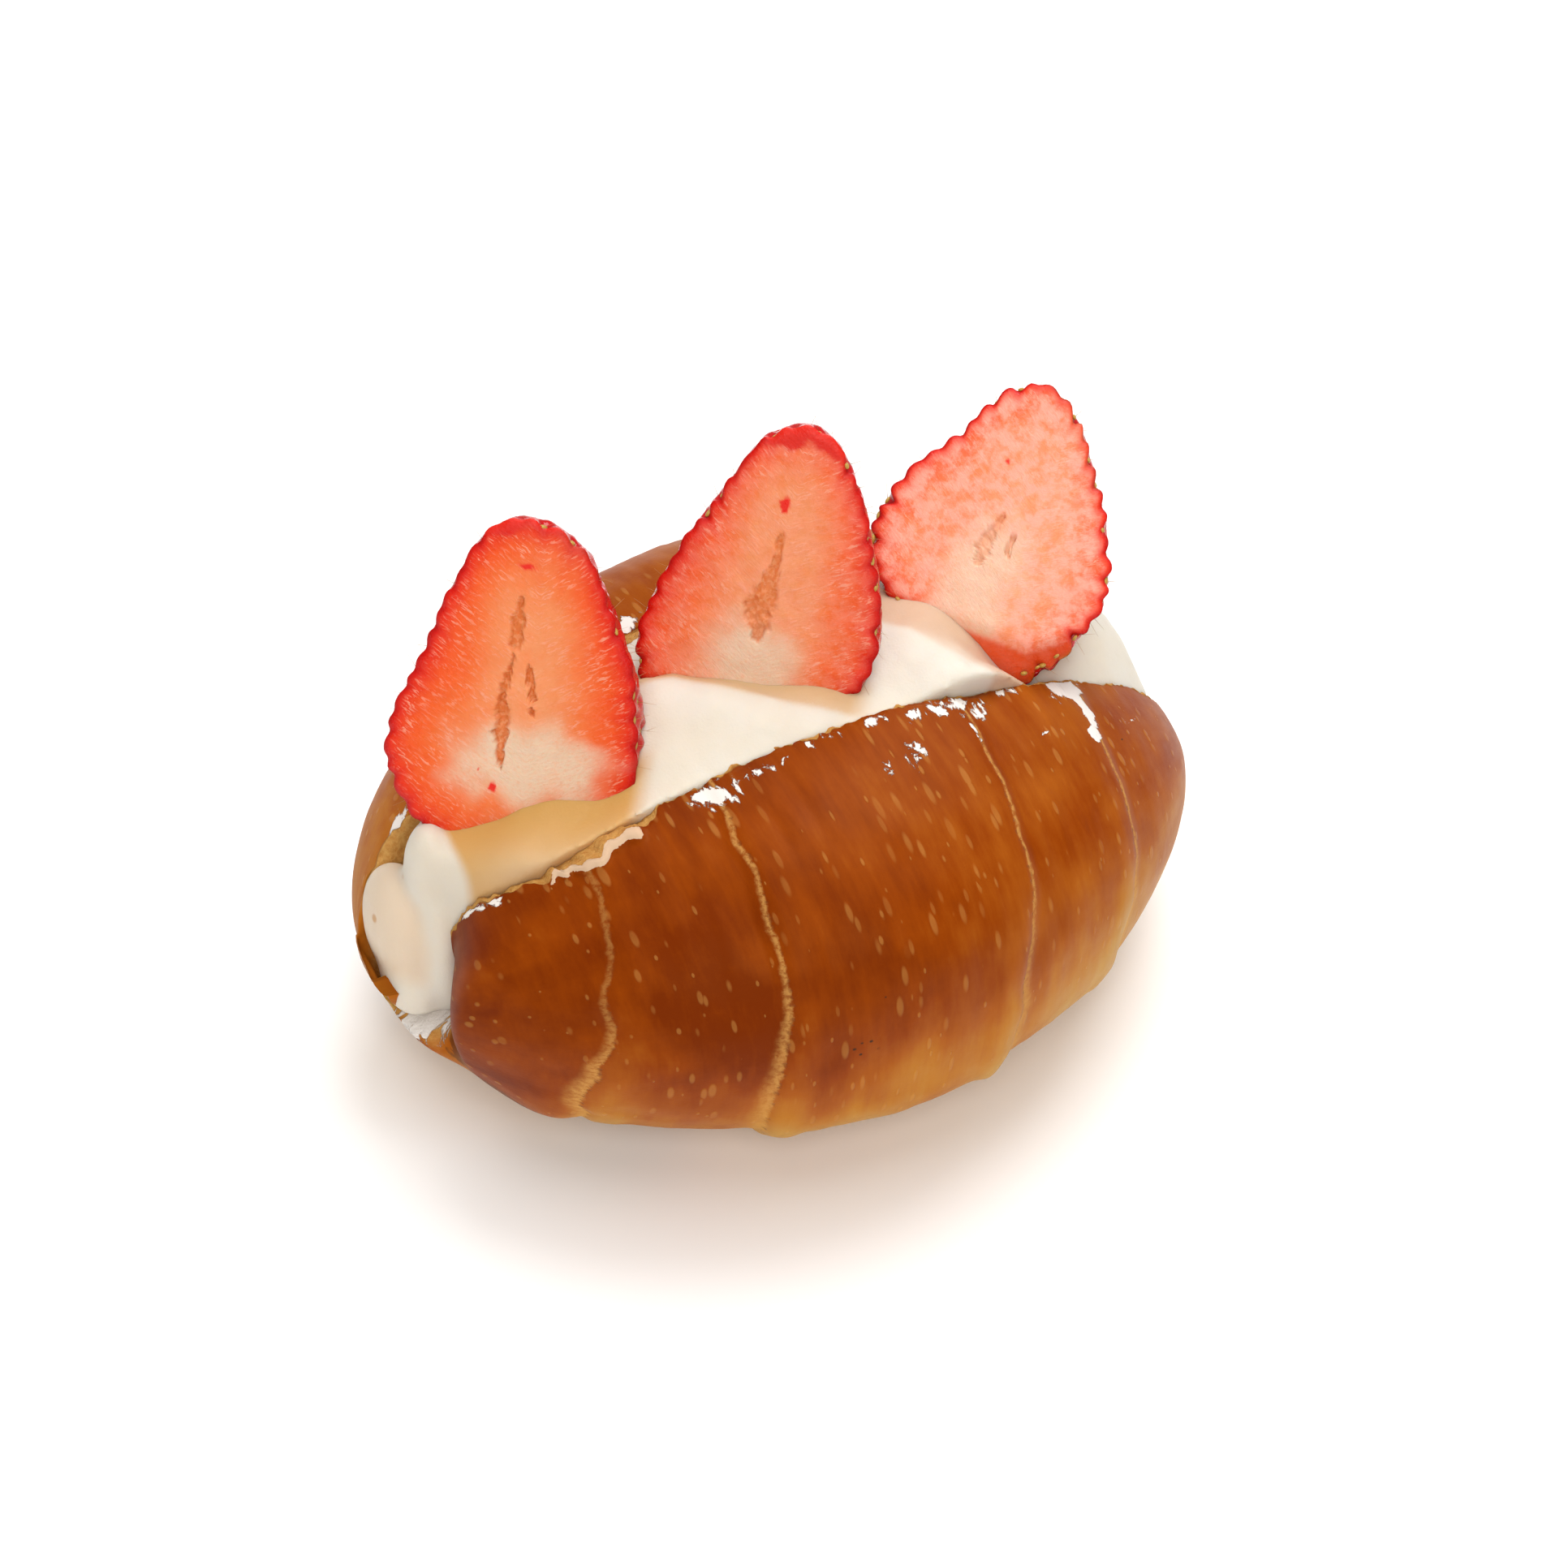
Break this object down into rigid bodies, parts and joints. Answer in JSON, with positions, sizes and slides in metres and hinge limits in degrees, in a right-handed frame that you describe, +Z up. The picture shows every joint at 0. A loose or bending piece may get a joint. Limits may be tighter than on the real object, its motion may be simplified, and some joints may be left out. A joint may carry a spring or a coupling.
{
  "type": "filled salt bread roll",
  "caption": "Baked roll split along its top, holding whipped cream with halved strawberries standing in it",
  "frame": {"origin": "on the surface the roll rests on, under the middle of the bounding box", "axes": "X along the roll, Y from its front half to its back half, Z up"},
  "size_m": [0.1256, 0.0978, 0.0932],
  "materials": {
    "crust": "glossy egg-washed brown crust, golden underneath",
    "cream": "smooth whipped cream, slightly wet",
    "strawberry": "wet cut strawberry flesh with a shiny seeded skin"
  },
  "bodies": {
    "root": {"bread_roll": "crust", "whipped_cream": "cream", "strawberry_half_left": "strawberry", "strawberry_half_middle": "strawberry", "strawberry_half_right": "strawberry"}
  },
  "joints": []
}
